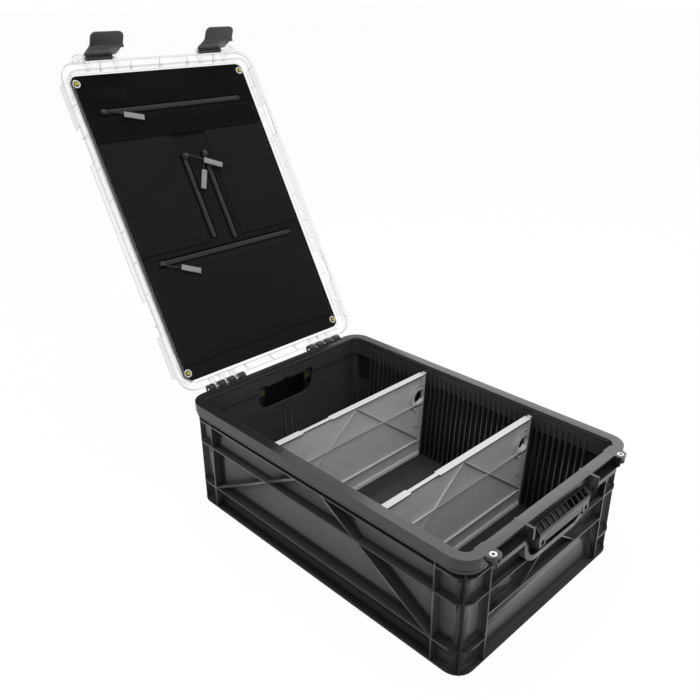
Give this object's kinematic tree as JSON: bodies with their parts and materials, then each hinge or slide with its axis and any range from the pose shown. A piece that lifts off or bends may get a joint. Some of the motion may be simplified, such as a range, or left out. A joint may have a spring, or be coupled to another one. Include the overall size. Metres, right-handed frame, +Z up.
{
  "type": "storage crate",
  "caption": "Rectangular ribbed plastic crate with louvred grips, guide ribs with lift-out dividers, and a clear hinged lid with latches and a zipped organiser.",
  "frame": {"origin": "centre of the crate's base, on the surface it stands on", "axes": "+Z up, -Y towards the latched front, +Y towards the hinges, X across"},
  "size_m": [0.406, 0.9369, 0.769],
  "materials": {
    "crate_black": "moulded, glossy",
    "lever_black": "moulded, satin",
    "clear_plastic": "clear, polished",
    "board": "cloth-covered board",
    "cloth": "woven",
    "zip_tape": "woven tape with moulded teeth",
    "dark_steel": "black coated",
    "pull_rubber": "moulded, matt",
    "brass": "bright",
    "steel": "bright",
    "divider_grey": "moulded, satin"
  },
  "bodies": {
    "crate": {"crate_tub": "crate_black", "eyelet_left": "steel", "eyelet_right": "steel", "hinge_pin_left": "steel", "hinge_pin_right": "steel", "handle_front": "crate_black", "handle_rear": "crate_black", "handle_screw_front_left": "dark_steel", "handle_insert_front_left": "brass", "handle_screw_front_right": "dark_steel", "handle_insert_front_right": "brass", "handle_screw_rear_left": "dark_steel", "handle_insert_rear_left": "brass", "handle_screw_rear_right": "dark_steel", "handle_insert_rear_right": "brass"},
    "divider_rear": {"divider_rear": "divider_grey"},
    "divider_front": {"divider_front": "divider_grey"},
    "lid": {"lid_shell": "clear_plastic", "latch_pin_left": "steel", "latch_pin_right": "steel", "organiser_board": "board", "pocket_top": "cloth", "pocket_left": "cloth", "pocket_right": "cloth", "pocket_bottom": "cloth", "zip_top": "zip_tape", "zip_left": "zip_tape", "zip_right": "zip_tape", "zip_bottom": "zip_tape", "fixing_washer_left_near": "clear_plastic", "fixing_washer_left_far": "clear_plastic", "fixing_washer_right_near": "clear_plastic", "fixing_washer_right_far": "clear_plastic", "fixing_screw_left_near": "brass", "fixing_screw_left_far": "brass", "fixing_screw_right_near": "brass", "fixing_screw_right_far": "brass"},
    "latch_left": {"latch_left": "lever_black"},
    "latch_right": {"latch_right": "lever_black"},
    "slider_top": {"zip_slider_top": "dark_steel"},
    "pull_top": {"zip_pull_top": "pull_rubber"},
    "slider_bottom": {"zip_slider_bottom": "dark_steel"},
    "pull_bottom": {"zip_pull_bottom": "pull_rubber"},
    "slider_left": {"zip_slider_left": "dark_steel"},
    "pull_left": {"zip_pull_left": "pull_rubber"},
    "slider_right": {"zip_slider_right": "dark_steel"},
    "pull_right": {"zip_pull_right": "pull_rubber"}
  },
  "joints": [
    {"name": "lid_hinge", "type": "hinge", "parent": "crate", "child": "lid", "pos_m": [0, 0.3049, 0.196], "axis": [-1, 0, 0], "range_deg": [-119.7, 0]},
    {"name": "latch_left_hinge", "type": "hinge", "parent": "lid", "child": "latch_left", "pos_m": [-0.117, 0.61787, 0.7225], "axis": [-1, 0, 0], "range_deg": [-4, 100]},
    {"name": "latch_right_hinge", "type": "hinge", "parent": "lid", "child": "latch_right", "pos_m": [0.117, 0.61787, 0.7225], "axis": [-1, 0, 0], "range_deg": [-4, 100]},
    {"name": "divider_rear_lift", "type": "slide", "parent": "crate", "child": "divider_rear", "axis": [0, 0, 1], "range_m": [0, 0.2]},
    {"name": "divider_front_lift", "type": "slide", "parent": "crate", "child": "divider_front", "axis": [0, 0, 1], "range_m": [0, 0.2]},
    {"name": "zip_top_slide", "type": "slide", "parent": "lid", "child": "slider_top", "axis": [1, 0, 0], "range_m": [0, 0.25]},
    {"name": "pull_top_swing", "type": "hinge", "parent": "slider_top", "child": "pull_top", "pos_m": [-0.1455, 0.57132, 0.63865], "axis": [0, -0.8686, 0.4955], "range_deg": [-75, 60]},
    {"name": "zip_bottom_slide", "type": "slide", "parent": "lid", "child": "slider_bottom", "axis": [1, 0, 0], "range_m": [0, 0.25]},
    {"name": "pull_bottom_swing", "type": "hinge", "parent": "slider_bottom", "child": "pull_bottom", "pos_m": [-0.1455, 0.43184, 0.39413], "axis": [0, -0.8686, 0.4955], "range_deg": [-75, 75]},
    {"name": "zip_left_slide", "type": "slide", "parent": "lid", "child": "slider_left", "axis": [0, -0.4955, -0.8686], "range_m": [0, 0.1545]},
    {"name": "pull_left_swing", "type": "hinge", "parent": "slider_left", "child": "pull_left", "pos_m": [-0.021, 0.52202, 0.55222], "axis": [0, -0.8686, 0.4955], "range_deg": [-75, 75]},
    {"name": "zip_right_slide", "type": "slide", "parent": "lid", "child": "slider_right", "axis": [0, -0.4955, -0.8686], "range_m": [0, 0.1645]},
    {"name": "pull_right_swing", "type": "hinge", "parent": "slider_right", "child": "pull_right", "pos_m": [0.023, 0.52202, 0.55222], "axis": [0, -0.8686, 0.4955], "range_deg": [-30, 75]}
  ]
}
